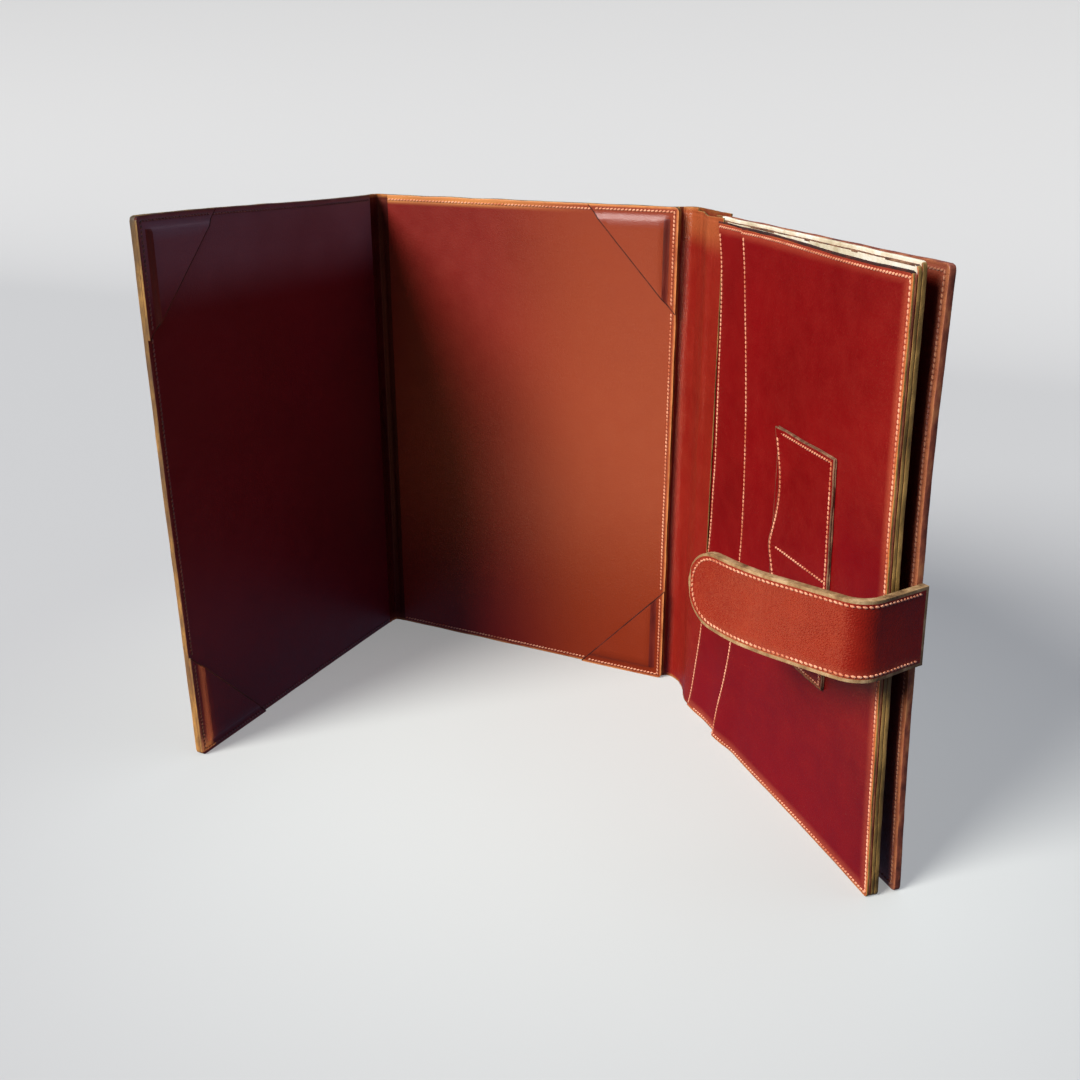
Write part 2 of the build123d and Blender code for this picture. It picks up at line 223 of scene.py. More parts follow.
def waxedThread(name, soiled, clean):
    # Waxed linen thread, twisted: a soft gleam and short slanting strands.
    surface = {"Roughness": 0.5, "Sheen Weight": 0.25, "IOR": 1.45}
    material, tree, shader, add = newMaterial(name, surface)
    place = add("TexCoord").outputs["Object"]
    soil = add("TexNoise", {"Scale": 60, "Detail": 3}, {"Vector": place})
    share = add("MapRange", {"From Min": 0.35, "From Max": 0.65}, {"Value": soil})
    tone = add("Mix", {"data_type": "RGBA", 6: toLinear(soiled), 7: toLinear(clean)},
               {0: share}).outputs[2]
    tree.links.new(tone, shader.inputs["Base Color"])
    strand = add("TexWave", {"Scale": 900, "Distortion": 1.5, "bands_direction": "DIAGONAL"},
                 {"Vector": place}).outputs["Fac"]
    bump = add("Bump", {"Strength": 0.4, "Distance": 0.0002}, {"Height": strand})
    tree.links.new(bump.outputs[0], shader.inputs["Normal"])
    return material


# sizes in mm: front cover and flap, pocket leaf, back cover, and a size for a piece whose
# edges show no wear
leafSize, pocketSize, backSize = (226.0, 330.0), (230.0, 327.0), (230.0, 328.2)
unworn = 999
# the lighter band of painted sheen and wear: colour, reach in mm, share at most, and whether it
# goes round every edge
# painted light, a lighter tone away from the hinge: colour, and the distances in mm from the
# hinge where it begins and is full
plain = {"deep": "#3a0509", "clear": "#5c0b10", "warm": "#6e1512", "rub": "#b8763e",
         "seed": 0.3, "size": leafSize, "worn": 2.4, "seam": 3.4, "coat": 0.25,
         "gloss": (0.34, 0.44), "grain": 0.7, "crease": 0.08, "creaseWay": (40, 260, 1),
         "creaseTurn": 0.2, "bump": 0.16, "specular": 0.32, "coatRough": 0.24,
         "bleach": ("#8a4630", 8.0, 0.3, True)}
# each leaf's colours are matched to how the light falls on it at rest, so their differing tones
# are partly painted light and shade: the shaded flap purplish, the front cover orange, the pocket
# leaf red
looks = {
    # the flap's purple-grey band along its top is a painted reflection
    "flap": {"name": "glazedCalfFlap", "deep": "#500717", "clear": "#5e0a1c",
             "warm": "#660f1b", "seed": 1.3, "rub": "#6a3a34", "coat": 0.1,
             "bleach": ("#98808a", 60.0, 0.46, False)},
    # the front cover's golden band along its top is a painted highlight
    "front": {"name": "glazedCalfFront", "deep": "#6c100a", "clear": "#7c140c",
              "warm": "#86200e", "seed": 2.1, "rub": "#d88a4e", "worn": 1.8, "coat": 0.1,
              # the front cover is drawn darker near its hinge, in the flap's painted shade, and
              # lighter away from it
              "specular": 0.34, "gloss": (0.4, 0.48), "tan": ("#842a08", 75, 170),
              "bleach": ("#dc9450", 7.0, 0.9, False)},
    # the fold's leather is drawn darker than the leaves beside it: painted shade in the corner
    # between flap and front cover
    "fold": {"name": "creasedCalfFold", "deep": "#2a0508", "clear": "#4a0d0c",
             "warm": "#5c2416", "seed": 8.1, "size": (unworn, 330), "coat": 0.0,
             "gloss": (0.5, 0.6), "specular": 0.1},
    # the spine's paler band along its top is a painted highlight
    "spine": {"name": "glazedCalfSpine", "deep": "#7c170f", "clear": "#8c1c14",
              "warm": "#9a301c", "seed": 3.7, "size": (unworn, 330),
              "creaseWay": (420, 90, 1), "crease": 0.1, "bump": 0.4, "grain": 1.0,
              "coat": 0.35, "gloss": (0.3, 0.4), "bleach": ("#d88a4c", 26.0, 0.35, False)},
    "pocket": {"name": "glazedCalfPocketLeaf", "deep": "#6c0208", "clear": "#80040b",
               "warm": "#8a0e0c", "seed": 4.9, "size": pocketSize, "crease": 0.22,
               "creaseWay": (60, 420, 1), "bump": 0.25, "creaseTurn": -0.35,
               "gloss": (0.36, 0.46), "coat": 0.12, "rub": "#c8783e",
               "bleach": ("#b8553a", 9.0, 0.55, True)},
    # along the back cover's edges the lighter rub and band are partly wear and partly painted
    # light, the lit strip of its inner face beside the pocket leaf's shade
    "back": {"name": "glazedCalfBackLining", "deep": "#54130c", "clear": "#702012",
             "warm": "#84351e", "seed": 6.1, "size": (230, 330), "bump": 0.4, "crease": 0.3,
             "worn": 3.5, "rub": "#a86a44", "bleach": ("#9a5a42", 10.0, 0.6, True)},
    "outer": {"name": "glazedCalfOutside", "deep": "#560a0b", "clear": "#781410",
              "warm": "#8a2c14", "seed": 7.7, "worn": 4.0, "rub": "#8a5228",
              "crease": 0.35, "bump": 0.35, "grain": 1.0},
    "strap": {"name": "glazedCalfStrap", "deep": "#78130b", "clear": "#86190d",
              "warm": "#9a2c16", "seed": 9.2, "size": (unworn, unworn),
              "creaseWay": (500, 60, 1), "crease": 0.2, "bump": 0.35, "coat": 0.1,
              "specular": 0.18, "gloss": (0.3, 0.4)},
    "card": {"name": "glazedCalfCardPocket", "deep": "#6c0208", "clear": "#80040b",
             "warm": "#8a0e0c", "seed": 5.5, "size": (unworn, unworn), "bump": 0.25,
             "coat": 0.12},
}
leather = {key: glazedLeather(look["name"], {**plain, **look}) for key, look in looks.items()}
edgeLooks = {  # dark, middle and pale colours, roughness, patches per metre, run up the edge
    "rubbedGiltEdge": ("#4a3816", "#7c6230", "#b08c4c", 0.55, 120, 0.35),
    "soiledGiltEdge": ("#2c2110", "#574420", "#94733a", 0.6, 120, 0.35),
    "bareCutEdge": ("#b8ab8a", "#d8cfb4", "#ece8da", 0.85, 60, 1),
    "stainedCutEdge": ("#3a2418", "#6e4a34", "#9a7658", 0.7, 150, 0.5),
    "turnedInEdge": ("#52241a", "#8c4a32", "#b87a4c", 0.6, 110, 0.5),
    "barePolishedEdge": ("#5a4028", "#967850", "#c0a47a", 0.6, 110, 0.6),
    # a dark cut edge that also serves as painted shadow at the pockets' mouths
    "darkCutEdge": ("#120304", "#2c0a0a", "#5a1e14", 0.95, 150, 0.5),
    # painted shade on a step that faces away from the light
    "burnishedStep": ("#4c120c", "#6e2014", "#8a3420", 0.45, 50, 0.2),
}
(goldEdge, dullEdge, creamEdge, brownEdge, turnedEdge, paleEdge, darkEdgeAndShadow,
 shadeStepEdge) = (rawEdge(name, *look) for name, look in edgeLooks.items())
stitching = waxedThread("waxedThread", "#c4663c", "#f4b088")
darkStitching = waxedThread("soiledThread", "#3c1a1a", "#6a3430")
wornStitching = waxedThread("wornThread", "#7a3c28", "#b87850")
print("materials made:", len(bpy.data.materials))

bows = {  # how each leaf has warped, in millimetres at its free edge
    "flap": {"lean": -2.6, "belly": -0.6, "wave": 0.5, "seed": 1.0},
    "front": {"lean": 0.0, "belly": 0.0, "wave": 0.4, "seed": 2.0},
    "pocket": {"lean": -6.0, "belly": -1.7, "wave": 0.7, "seed": 3.0},
    "back": {"lean": -5.6, "belly": -3.3, "wave": 0.6, "seed": 4.0},
}


def bow(leaf, x, z):
    warp = bows[leaf]
    up = 2 * z / 330 - 1
    wave = noise.noise(Vector((x * 0.014, z * 0.014, warp["seed"]))) * warp["wave"]
    return (ease(x / 230) * (warp["lean"] * up + warp["belly"] * (1 - up * up))
            + wave * ease(x / 40))


def spread(t, count, length, first):
    # rows of a grid, with two close to each edge so that the rounded rim shades crisply
    step = round(t * count)
    close = {0: 0.0, 1: first, 2: 3.0,
             count - 2: length - 3.0, count - 1: length - first, count: length}
    if step in close:
        return close[step]
    return 3.0 + (length - 6.0) * (step - 2) / (count - 4)


def roundCorner(x, z, length, height, radius):
    # the top and bottom corners at the free edge
    for edge, side in ((height, 1), (0.0, -1)):
        dx, dz = x - length + radius, (z - edge) * side + radius
        if dx > 0 and dz > 0:
            pull = max(dx, dz) / hypot(dx, dz)
            return length + (dx * pull - radius), edge + side * (dz * pull - radius)
    return x, z


def leatherSheet(length, height, near, far, shape, cells=(40, 58), radius=3.0, free=True,
                 ragged=0.35, rim=0.4, seed=0.0, openEnds=(1, -1), tip=None, square=None,
                 bareRim=0.0):
    # A closed sheet between depths near and far. shape(x, y, z) bends it. Its rim is rounded,
    # except at ends that carry on into another piece and on the side named by square.
    # free: whether it has a fore edge. bareRim is the width of a rim with no dye on it.
    bm = bmesh.new()
    bmesh.ops.create_grid(bm, x_segments=cells[0], y_segments=cells[1], size=0.5)
    bmesh.ops.solidify(bm, geom=bm.faces[:], thickness=1.0)
    layer = bm.loops.layers.uv.new("UVMap")
    first = bareRim or 1.0
    flat = {}
    for vert in bm.verts:
        x = spread(vert.co.x + 0.5, cells[0], length, first)
        z = spread(vert.co.y + 0.5, cells[1], height, first)
        deep = abs(vert.co.z) > 0.5
        if radius:
            x, z = roundCorner(x, z, length, height, radius)
        if ragged:
            wear = (noise.noise(Vector((z * 0.05, seed, 0)))
                    + 0.5 * noise.noise(Vector((z * 0.21, seed, 3))))
            if free:
                x += ragged * wear * ease((x - length + 8) / 8)
            wear = noise.noise(Vector((x * 0.05, seed, 5)))
            z += ragged * wear * (ease((z - height + 8) / 8) - ease((8 - z) / 8))
        if tip:
            x, z = tip(x, z)
        flat[vert] = (x, z, deep)
    for face in bm.faces:
        depths = {flat[vert][2] for vert in face.verts}
        middle = face.calc_center_median() + Vector((0.5, 0.5, 0))
        foreCells = (1 - middle.x) * cells[0] if free else 9
        bare = bareRim and min(middle.x * cells[0], foreCells, middle.y * cells[1],
                               (1 - middle.y) * cells[1]) < 0.6
        face.material_index = 1 if len(depths) == 2 or bare else 0
        for loop in face.loops:
            loop[layer].uv = (flat[loop.vert][0] / 1000, flat[loop.vert][1] / 1000)
    turning = [edge for edge in bm.edges
               if len({flat[vert][2] for vert in edge.verts}) == 1
               and edge.calc_face_angle(0) > radians(60)]
    rounded = []
    for edge in turning:
        middle = sum(flat[vert][0] for vert in edge.verts) / 2
        joined = ((middle > length - 0.01 and 1 not in openEnds)
                  or (middle < 0.01 and -1 not in openEnds))
        if not joined and square != ("far" if flat[edge.verts[0]][2] else "near"):
            rounded.append(edge)
    for vert in bm.verts:
        x, z, deep = flat[vert]
        vert.co = shape(x, far if deep else near, z)
    bmesh.ops.recalc_face_normals(bm, faces=bm.faces[:])
    turned = bmesh.ops.bevel(bm, geom=rounded, affect="EDGES", offset=rim, segments=3,
                             profile=0.5, material=-1, clamp_overlap=True)["faces"]
    for face in turned if bareRim else []:
        face.material_index = 1
    return bm


def toMesh(name, bm):
    mesh = bpy.data.meshes.new(name)
    bm.to_mesh(mesh)
    bm.free()
    return mesh


def addObject(name, data):
    thing = bpy.data.objects.new(name, data)
    bpy.context.scene.collection.objects.link(thing)
    return thing


flapStretch = {"long": 1.028, "tall": 0.014}  # the flap has stretched towards its free corner


def makePiece(name, bm, leaf, materials, slot, body=None, stands=(), blend=None):
    for face in bm.faces:
        face.smooth = True
    for edge in bm.edges:
        if len(edge.link_faces) == 2 and edge.calc_face_angle(0) > radians(48):
            edge.smooth = False
    for vert in bm.verts if leaf == "flap" else []:
        x, y, z = vert.co
        taller = 1 + flapStretch["tall"] * ease(x / leafSize[0])
        vert.co = Vector((x * flapStretch["long"], y, z * taller))
    bmesh.ops.transform(bm, matrix=leafMatrix(leaf), verts=bm.verts[:])
    piece = addObject(name, toMesh(name, bm))
    for material in materials:
        piece.data.materials.append(material)
    if blend:
        fromBody, toBody, start, end = blend
        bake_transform(piece)
        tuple(start)
        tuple(end)
    else:
        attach(piece, body)
    if stands:
        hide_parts(*stands)
    return piece


def flatLeaf(leaf, x0=0.0, z0=0.0):
    def shape(x, y, z):
        return Vector((x + x0, y + bow(leaf, x + x0, z + z0), z + z0))
    return shape


thread = {"pitch": 2.6, "length": 2.4, "width": 1.3, "height": 0.9, "slant": 20.0,
          "proud": 0.12}
pattern = bmesh.new()  # one stitch, 1 mm each way, its poles at its two ends
bmesh.ops.create_uvsphere(pattern, u_segments=6, v_segments=5, radius=0.5,
                          matrix=Matrix.Rotation(radians(90), 4, "Y"))
oneStitch = toMesh("oneStitch", pattern)


def sew(bm, points, level, shape, outward):
    # Stitches along a line of (x, z) points, on the surface at y = level, bent by shape.
    rng = random.Random(len(points) * 7 + int(points[0][0] * 10))
    carried, first, places = thread["pitch"] / 2, len(bm.verts), []
    for (ax, az), (bx, bz) in zip(points, points[1:]):
        run = hypot(bx - ax, bz - az)
        heading = atan2(bz - az, bx - ax)
        while carried < run:
            x, z = ax + (bx - ax) * carried / run, az + (bz - az) * carried / run
            turn = heading + radians(thread["slant"] + rng.uniform(-3, 3))
            scale = Matrix.Diagonal((thread["length"] * rng.uniform(0.93, 1.05),
                                     thread["height"], thread["width"], 1))
            y = (level(x, z) if callable(level) else level) + outward * thread["proud"]
            places.append(Matrix.Translation((x, y, z)) @ Matrix.Rotation(-turn, 4, "Y")
                          @ scale)
            bm.from_mesh(oneStitch)
            carried += thread["pitch"]
        carried -= run
    bm.verts.ensure_lookup_table()
    each = len(oneStitch.vertices)
    for index, place in enumerate(places):
        for vert in bm.verts[first + index * each:first + (index + 1) * each]:
            vert.co = shape(*(place @ vert.co))


corner = {"width": 64.0, "height": 68.0, "rim": 5.6, "leather": 1.6, "rise": 1.9, "step": 3.6,
          "round": 3.0, "blunt": 1.2, "mouthLine": 0.6}


def cut(bm, point, normal):
    bmesh.ops.bisect_plane(bm, geom=bm.verts[:] + bm.edges[:] + bm.faces[:], dist=0.0001,
                           plane_co=point, plane_no=normal)


def cornerPocket(leaf, inside, side, top):
    # Wet-moulded triangle: a sewn rim, a soft step and a raised face, open along its diagonal.
    end = leafSize[0]
    edge, turn = (leafSize[1], -1) if top else (0.0, 1)
    bm = bmesh.new()
    tips = [(end, edge), (end - corner["width"], edge), (end, edge + turn * corner["height"])]
    verts = [bm.verts.new((x, 0, z)) for x, z in tips]
    bm.faces.new(verts)
    bmesh.ops.bevel(bm, geom=[verts[0]], affect="VERTICES", offset=corner["round"],
                    segments=5, profile=0.5, material=-1)
    blunt = [vert for vert in bm.verts
             if min(abs(vert.co.x - tips[1][0]), abs(vert.co.z - tips[2][1])) < 0.01]
    bmesh.ops.bevel(bm, geom=blunt, affect="VERTICES", offset=corner["blunt"], segments=2,
                    profile=0.5, material=-1)
    stepEnd = corner["rim"] + corner["step"]
    away = [0.8, 2.7, corner["rim"], corner["rim"] + corner["step"] / 2, stepEnd]
    away += [stepEnd + 5.0 * (index + 1) for index in range(11)]
    for distance in away:
        cut(bm, (end - distance, 0, 0), (1, 0, 0))
    for distance in away:
        cut(bm, (0, 0, edge + turn * distance), (0, 0, 1))
    # two cuts beside the mouth, so that its edge shades crisply
    slope = Vector((corner["height"], 0, -turn * corner["width"])).normalized()
    for distance in (0.65, 3.0):
        cut(bm, Vector((tips[1][0], 0, tips[1][1])) + slope * distance, slope)
    layer = bm.loops.layers.uv.new("UVMap")
    bmesh.ops.solidify(bm, geom=bm.faces[:], thickness=1.0)
    flat = {vert: (vert.co.x, abs(vert.co.y) > 0.5, vert.co.z) for vert in bm.verts}
    for face in bm.faces:  # 0 leather, 1 gilt edge, 2 dark mouth edge and a painted shadow line along the mouth, 3 step on the fore side in painted shade
        middle = face.calc_center_median()
        aside, along = end - middle.x, abs(middle.z - edge)
        fromMouth = (middle - Vector((tips[1][0], middle.y, tips[1][1]))).dot(slope)
        if len({flat[vert][1] for vert in face.verts}) == 2:
            face.material_index = 2 if min(aside, along) > 0.2 else 1
        # a painted shadow line along the open mouth
        elif fromMouth < corner["mouthLine"]:
            face.material_index = 2
        else:
            # the step on the fore side is drawn in its own darker colour: painted shade
            face.material_index = 3 if corner["rim"] < aside < stepEnd and along > aside else 0
        for loop in face.loops:
            loop[layer].uv = (flat[loop.vert][0] / 1000, flat[loop.vert][2] / 1000)
    turning = [line for line in bm.edges
               if len({flat[vert][1] for vert in line.verts}) == 1
               and line.calc_face_angle(0) > radians(60)]
    for vert in bm.verts:
        x, far, z = flat[vert]
        inset = min(end - x, abs(z - edge))
        rise = corner["rise"] * ease((inset - corner["rim"]) / corner["step"])
        sag = 0.25 * noise.noise(Vector((x * 0.06, z * 0.06, end + edge))) * ease(inset / 20)
        thick = corner["leather"] if far else 0.02
        y = inside + side * (thick + rise * (1 if far else 0.9) + sag)
        vert.co = Vector((x, y + bow(leaf, x, z), z))
    bmesh.ops.recalc_face_normals(bm, faces=bm.faces[:])
    bmesh.ops.bevel(bm, geom=turning, affect="EDGES", offset=0.4, segments=3, profile=0.5,
                    material=-1, clamp_overlap=True)
    return bm


# depths: inner face, between the plies, outer face; side points from the inner face out
stiffLeaves = {
    # the flap's thread and gilt edge are drawn darker than the front cover's
    "flap": {"body": "flap", "depths": (-3.35, -5.1, -6.95), "side": -1, "size": leafSize,
             "start": 5.0, "seed": 1.0, "rim": dullEdge, "cord": darkStitching,
             "corners": True},
    "front": {"body": "front_cover", "depths": (3.35, 5.1, 6.95), "side": 1,
              "size": leafSize, "start": 5.0, "seed": 2.0, "rim": goldEdge,
              "cord": stitching, "corners": True},
    "back": {"body": "back_cover", "depths": (-3.0, -1.25, 0.6), "side": 1,
             "size": backSize, "start": 3.0, "seed": 3.0, "rim": turnedEdge,
             "cord": wornStitching, "corners": False},
}
seamInset = 3.2


def stiffLeaf(leaf, build):
    inside, between, outside = build["depths"]
    length, height = build["size"][0] - build["start"], build["size"][1]
    shape = flatLeaf(leaf, build["start"])
    innerPly = leatherSheet(length, height, inside, between, shape, seed=build["seed"],
                            square="far")
    outerPly = leatherSheet(length, height, between + build["side"] * 0.03, outside, shape,
                            seed=build["seed"] + 0.05, square="near")
    for bm in (innerPly, outerPly):
        layer = bm.loops.layers.uv.active
        for face in bm.faces:
            for loop in face.loops:
                loop[layer].uv.x += build["start"] / 1000
    makePiece(leaf + "Lining", innerPly, leaf, [leather[leaf], build["rim"]],
              "lining_leather", build["body"], [leaf + "_lining", leaf + "_board"])
    makePiece(leaf + "OuterLeather", outerPly, leaf, [leather["outer"], build["rim"]],
              "cover_leather", build["body"], [leaf + "_outer_leather"])


def coverStitches(leaf, build):
    inside, _, outside = build["depths"]
    side, (end, tall) = build["side"], build["size"]
    start, low, high, fore = 6.0, seamInset, tall - seamInset, end - seamInset
    around = [(start, low), (fore, low), (fore, high), (start, high)]
    bm = bmesh.new()
    shape = flatLeaf(leaf)
    stands = [leaf + "_edge_seams"]
    if build["corners"]:
        stands.append(leaf + "_corner_seams")
        rim, over = corner["rim"] / 2, side * -corner["leather"]
        width, height = corner["width"], corner["height"]
        for z in (low, high):
            sew(bm, [(start, z), (end - width + 3, z)], inside, shape, -side)
        sew(bm, [(fore, height), (fore, tall - height)], inside, shape, -side)
        for edge, turn in ((0, 1), (tall, -1)):
            sew(bm, [(end - width + 6, edge + turn * rim), (end - rim, edge + turn * rim),
                     (end - rim, edge + turn * (height - 6))], inside + over, shape, -side)
    else:
        sew(bm, around, inside, shape, -side)
    sew(bm, around, outside, shape, side)
    makePiece(leaf + "Stitches", bm, leaf, [build["cord"]], "thread", build["body"], stands)


for leaf, build in stiffLeaves.items():
    stiffLeaf(leaf, build)
for leaf in ("flap", "front"):
    build = stiffLeaves[leaf]
    for part, top in (("upper", True), ("lower", False)):
        makePiece(leaf + "Corner" + part.capitalize(),
                  cornerPocket(leaf, build["depths"][0], -build["side"], top), leaf,
                  [leather[leaf], build["rim"], darkEdgeAndShadow, shadeStepEdge], "corner_leather",
                  build["body"], [f"{leaf}_corner_{part}"])
for leaf, build in stiffLeaves.items():
    coverStitches(leaf, build)
print("stiff leaves made")

# the pocket leaf, from its back forwards; mouths are (z, x) points up the slack edge
pocket = {"facing": -4.4, "deepUnder": -5.0, "deepTop": -5.9, "shortTop": -6.8,
          "deepLift": 1.6, "shortLift": 2.6, "seam": 2.4, "mouthSeam": 1.5}
deepMouth = [(0, 5), (12, 9.5), (32, 14), (67, 20.5), (115, 24.5), (182, 27.5), (256, 27),
             (300, 23), (327, 16)]
shortMouth = [(0, 49), (21, 53), (45, 60), (75, 66.5), (130, 72.5), (226, 70), (287, 61),
              (327, 52)]


def through(points, z):
    # a smooth line through (z, x) points
    for index in range(len(points) - 1):
        if z <= points[index + 1][0] or index == len(points) - 2:
            before = points[max(0, index - 1)]
            a, b = points[index], points[index + 1]
            after = points[min(len(points) - 1, index + 2)]
            t = (z - a[0]) / (b[0] - a[0])
            slopeA = (b[1] - before[1]) / (b[0] - before[0]) * (b[0] - a[0])
            slopeB = (after[1] - a[1]) / (after[0] - a[0]) * (b[0] - a[0])
            t2, t3 = t * t, t * t * t
            return ((2 * t3 - 3 * t2 + 1) * a[1] + (t3 - 2 * t2 + t) * slopeA
                    + (3 * t2 - 2 * t3) * b[1] + (t3 - t2) * slopeB)


def mouthLift(mouth, lift, reach=26.0):
    # the slack mouth stands off the leaf, more towards the bottom
    def rise(x, z):
        away = max(0.0, x - through(mouth, z))
        uneven = 0.2 * noise.noise(Vector((z * 0.03, lift, 1)))
        return -lift * (0.55 + 0.45 * ease(1 - z / 150) + uneven) * ease(1 - away / reach)
    return rise


def topDrop(x):
    # the leathers have shrunk and their top edge falls away below the bare boards
    return 0.2 + 1.3 * ease(x / 210) + 0.25 * sin(x * 0.045)


def dropped(x, z):
    return z - topDrop(x) * ease((z - 250) / 77)


def mouthSheet(mouth, near, far, lift, cells, seed):
    width, height = pocketSize
    rise = mouthLift(mouth, lift)

    def shape(x, y, z):
        left = through(mouth, z)
        x = left + x / width * (width - left)
        return Vector((x, y + bow("pocket", x, z) + rise(x, z), dropped(x, z)))
    bm = leatherSheet(width, height, near, far, shape, cells=cells, seed=seed, rim=0.28,
                      square="near")
    layer = bm.loops.layers.uv.active
    for face in bm.faces:
        for loop in face.loops:
            loop[layer].uv = (loop.vert.co.x / 1000, loop.vert.co.z / 1000)
        middle = face.calc_center_median()
        if middle.z > dropped(middle.x, height) - 0.9:
            face.material_index = 2  # its top edge is dark: partly the cut edge, partly painted shade at the pocket's mouth
    return bm, rise


# the two boards stand above the leathers: strip is their bare cream top, dip is how much lower
# they are at the hinge, and the front board's top edge is drawn dark, a painted shadow line
# between the boards
boards = {"tall": 329.8, "step": 1.5, "dip": 1.2, "strip": 7.5, "stain": 0.7}
plies = [("pocketLeafBack", 0.0, -2.35, leather["outer"], "backing_leather",
          ["pocket_leaf_backing"]),
         ("pocketLeafFront", -2.45, pocket["facing"], leather["pocket"], "pocket_leather",
          ["pocket_leaf_board", "pocket_leaf_facing"])]
for index, (name, near, far, look, slot, stands) in enumerate(plies):
    tall = boards["tall"] - boards["step"] * index
    bm = leatherSheet(227.0, tall, near, far, flatLeaf("pocket", 3.0), seed=4.0 + index * 0.2)
    for vert in bm.verts:
        upper = ease((vert.co.z - 280) / 45)
        vert.co.z -= boards["dip"] * upper * (1 - ease(vert.co.x / 200))
    for face in bm.faces:
        middle = face.calc_center_median()
        crown = tall - boards["dip"] * (1 - ease(middle.x / 200))
        bare = middle.z > crown - boards["strip"] and 14 < middle.x < 228.5
        if bare and face.normal.y < 0.5:
            # a painted shadow line along the front board's top edge
            face.material_index = 3 if index and middle.z > crown - boards["stain"] else 2
    makePiece(name, bm, "pocket", [look, goldEdge, creamEdge, brownEdge], slot,
              "pocket_leaf", stands)
deepSheet, deepRise = mouthSheet(deepMouth, pocket["deepUnder"], pocket["deepTop"],
                                 pocket["deepLift"], (56, 60), 4.3)
makePiece("deepPocket", deepSheet, "pocket", [leather["pocket"], turnedEdge, darkEdgeAndShadow],
          "pocket_leather", "pocket_leaf", ["deep_pocket"])
shortSheet, shortRise = mouthSheet(shortMouth, pocket["deepTop"] - 0.05, pocket["shortTop"],
                                   pocket["shortLift"], (50, 60), 4.4)
makePiece("shortPocket", shortSheet, "pocket", [leather["pocket"], goldEdge, darkEdgeAndShadow],
          "pocket_leather", "pocket_leaf", ["short_pocket"])

card = {"left": 112.0, "right": 178.0, "low": 97.0, "high": 227.0, "split": 159.0,
        "slack": 8.0, "seam": 2.6, "top": pocket["shortTop"] - 2.0}


def cardMouth(z):
    upper = z > card["split"]
    low, high = (card["split"], card["high"]) if upper else (card["low"], card["split"])
    return card["slack"] * sin(pi * (z - low) / (high - low)) ** 1.3 if low < z < high else 0.0


def cardShape(slack):
    def shape(x, y, z):
        width = card["right"] - card["left"]
        z = z + card["low"]
        left = cardMouth(z) * slack
        x = card["left"] + left + x / width * (width - left)
        lift = 0.9 * slack * ease(1 - (x - card["left"] - left) / 14)
        return Vector((x, y + bow("pocket", x, z) - lift, z))
    return shape


for name, near, far, slack, node in (
        ("cardPocketBack", 0.05, 0.95, 0.0, "card_pocket_back"),
        ("cardPocketFront", 1.0, 2.0, 1.0, "card_pocket_front")):
    bm = leatherSheet(card["right"] - card["left"], card["high"] - card["low"],
                      pocket["shortTop"] - near, pocket["shortTop"] - far, cardShape(slack),
                      cells=(24, 40), radius=1.2, seed=5.0 + slack, ragged=0.5, bareRim=0.8)
    makePiece(name, bm, "pocket", [leather["card"], brownEdge], "pocket_leather",
              "pocket_leaf", [node])


def pocketLevel(x, z):
    if x > through(shortMouth, z):
        return pocket["shortTop"] + shortRise(x, z)
    return pocket["deepTop"] + deepRise(x, z)


def pocketStitches(name, lines, node):
    bm = bmesh.new()
    for points, level in lines:
        sew(bm, points, level, flatLeaf("pocket"), -1)
    makePiece(name, bm, "pocket", [stitching], "thread", "pocket_leaf", [node])


fore = 228.2
topLine = [(x, 324.2 - topDrop(x)) for x in range(18, 229, 6)]
aroundLeaf = topLine + [(fore, 317.0), (fore, pocket["seam"]), (14, pocket["seam"])]
pocketStitches("pocketLeafStitches", [(aroundLeaf, pocketLevel)], "pocket_leaf_seams")
for name, mouth, level, rise, node in (
        ("deepPocketStitches", deepMouth, pocket["deepTop"], deepRise, "deep_pocket_seam"),
        ("shortPocketStitches", shortMouth, pocket["shortTop"], shortRise,
         "short_pocket_seam")):
    points = [(through(mouth, z) + pocket["mouthSeam"], dropped(through(mouth, z), z))
              for z in range(3, 325, 6)]
    pocketStitches(name, [(points, lambda x, z: level + rise(x, z))], node)
left, right = card["left"], card["right"] - card["seam"]
low, high = card["low"] + card["seam"], card["high"] - card["seam"]
cardEdge = [(left + cardMouth(z) + 2.2, z)
            for z in range(int(card["low"]) + 4, int(card["high"]) - 2, 4)]
aroundCard = [(left + 1.5, low), (right, low), (right, high), (left + 1.5, high)]
across = [(left - 0.3, card["split"]), (right, card["split"])]
pocketStitches("cardPocketStitches", [(cardEdge, card["top"] - 0.85),
                                      (aroundCard, card["top"]), (across, card["top"])],
               "card_pocket_seams")
print("pocket leaf made")


def curvePoint(points, distance):
    # a point and its sideways normal, distance along a smooth line through plan points
    spans = [(Vector(b) - Vector(a)).length for a, b in zip(points, points[1:])]
    index = 0
    while index < len(spans) - 1 and distance > spans[index]:
        distance -= spans[index]
        index += 1
    t = distance / spans[index]
    a, b = Vector(points[index]), Vector(points[index + 1])
    before = Vector(points[index - 1]) if index else a * 2 - b
    after = Vector(points[index + 2]) if index + 2 < len(points) else b * 2 - a
    startWay, endWay = (b - before) / 2, (after - a) / 2
    place = (a * (2 * t ** 3 - 3 * t ** 2 + 1) + startWay * (t ** 3 - 2 * t ** 2 + t)
             + b * (3 * t ** 2 - 2 * t ** 3) + endWay * (t ** 3 - t ** 2))
    way = (a * (6 * t ** 2 - 6 * t) + startWay * (3 * t ** 2 - 4 * t + 1)
           + b * (6 * t - 6 * t ** 2) + endWay * (3 * t ** 2 - 2 * t)).normalized()
    return place, Vector((-way.y, way.x))


def softShape(points, start, wrinkle):
    def shape(x, y, z):
        place, normal = curvePoint(points, x + start)
        offset = y + wrinkle(x + start, z)
        return Vector((place.x + normal.x * offset, place.y + normal.y * offset, z))
    return shape


